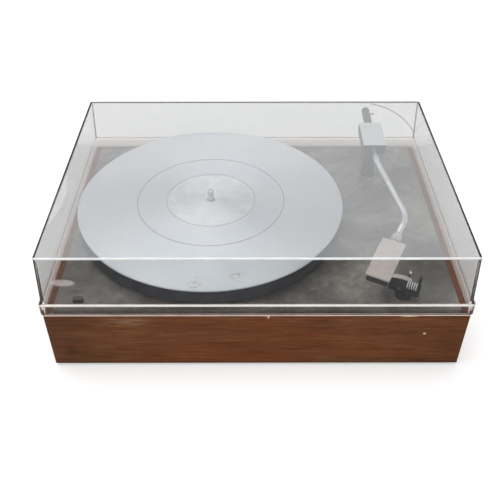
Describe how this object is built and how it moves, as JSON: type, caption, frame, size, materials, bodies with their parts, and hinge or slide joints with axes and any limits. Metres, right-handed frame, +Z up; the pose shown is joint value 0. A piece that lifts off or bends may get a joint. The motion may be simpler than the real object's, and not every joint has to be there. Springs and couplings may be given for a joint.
{
  "type": "turntable",
  "caption": "Belt-driven record turntable with a walnut plinth, metal platter, bent tone arm and clear lift-off cover.",
  "frame": {"origin": "on the floor, under the middle of the plinth and cover", "axes": "+Z up, +X to the right seen from the front, +Y to the rear; the front faces -Y"},
  "size_m": [0.43, 0.317, 0.1466],
  "materials": {
    "walnut": "satin oiled walnut",
    "pale_wood": "raw softwood",
    "hardboard": "matt hardboard",
    "rubber": "matt",
    "plate_paint": "textured grey paint",
    "platter_metal": "fine turned",
    "arm_metal": "satin anodised",
    "steel": "zinc plated",
    "brass": "turned",
    "chrome": "bright",
    "dark_metal": "dark satin paint",
    "black_plastic": "satin",
    "clear_cover": "clear acrylic, lightly scuffed"
  },
  "bodies": {
    "plinth": {"plinth_front_rail": "walnut", "plinth_rear_rail": "walnut", "plinth_left_rail": "walnut", "plinth_right_rail": "walnut", "corner_blocks": "pale_wood", "base_board": "hardboard", "rubber_feet": "rubber", "foot_screws": "steel", "top_plate": "plate_paint", "wood_screws": "steel", "weld_studs": "steel", "stud_nuts": "steel", "suspension_springs": "steel", "drive_belt": "rubber", "motor_can": "steel", "motor_coil": "brass", "motor_bushes": "brass", "motor_grommets": "rubber", "power_switch": "black_plastic", "socket_panel": "steel", "phono_sockets": "brass", "ground_terminal": "brass", "cord_gland": "rubber", "terminal_strip": "black_plastic", "arm_rest_base": "black_plastic", "arm_rest_roller": "chrome", "arm_rest_pins": "chrome", "arm_rest_clip": "dark_metal"},
    "floating_chassis": {"subchassis": "steel", "suspension_grommets": "rubber", "bearing_housing": "brass", "bearing_screws": "steel", "bearing_bushes": "brass", "thrust_pad": "black_plastic", "arm_pillar": "dark_metal", "pillar_nut": "steel", "pivot_bearings": "brass"},
    "platter": {"spindle_shaft": "steel", "inner_platter": "platter_metal", "outer_platter": "platter_metal"},
    "motor_rotor": {"motor_rotor": "steel", "motor_shaft": "steel", "motor_pulley": "brass"},
    "knob": {"power_knob": "black_plastic"},
    "arm_pivot": {"pivot_shaft": "steel", "arm_yoke": "dark_metal"},
    "arm": {"pivot_cover": "arm_metal", "tilt_pivot_pins": "steel", "arm_tube": "arm_metal", "headshell_collar": "arm_metal", "headshell": "arm_metal", "finger_lift": "arm_metal", "cartridge": "black_plastic", "cartridge_screws": "steel", "stylus_holder": "black_plastic", "stylus": "steel", "rear_stub": "steel"},
    "weight": {"counterweight": "dark_metal", "counterweight_screw": "dark_metal"},
    "cover": {"dust_cover": "clear_cover"}
  },
  "joints": [
    {"name": "cover_lift", "type": "slide", "parent": "plinth", "child": "cover", "axis": [0, 0, 1], "range_m": [0, 0.09]},
    {"name": "suspension_bounce", "type": "slide", "parent": "plinth", "child": "floating_chassis", "axis": [0, 0, 1], "range_m": [-0.0012, 0.0012], "stiffness_N_per_m": 1200, "springref_m": 0.0188, "deforming": ["suspension_springs"]},
    {"name": "platter_spin", "type": "hinge", "parent": "floating_chassis", "child": "platter", "pos_m": [-0.0511, -0.0004, 0.103], "axis": [0, 0, 1], "continuous": true},
    {"name": "pulley_spin", "type": "hinge", "parent": "plinth", "child": "motor_rotor", "pos_m": [-0.136, -0.0765, 0.0908], "axis": [0, 0, 1], "continuous": true},
    {"name": "power_knob_turn", "type": "hinge", "parent": "plinth", "child": "knob", "pos_m": [-0.179, -0.1408, 0.083], "axis": [0, 0, 1], "range_deg": [-60, 0]},
    {"name": "arm_swing", "type": "hinge", "parent": "floating_chassis", "child": "arm_pivot", "pos_m": [0.141, 0.085, 0.1309], "axis": [0, 0, 1], "range_deg": [-46, 0]},
    {"name": "arm_lift", "type": "hinge", "parent": "arm_pivot", "child": "arm", "pos_m": [0.141, 0.085, 0.1309], "axis": [-1, 0, 0], "range_deg": [0, 5.5]},
    {"name": "counterweight_slide", "type": "slide", "parent": "arm", "child": "weight", "axis": [0, 0.9972, 0.075], "range_m": [-0.004, 0.001]}
  ],
  "couplings": [
    {"joint": "pulley_spin", "follows": "platter_spin", "ratio": 9}
  ]
}
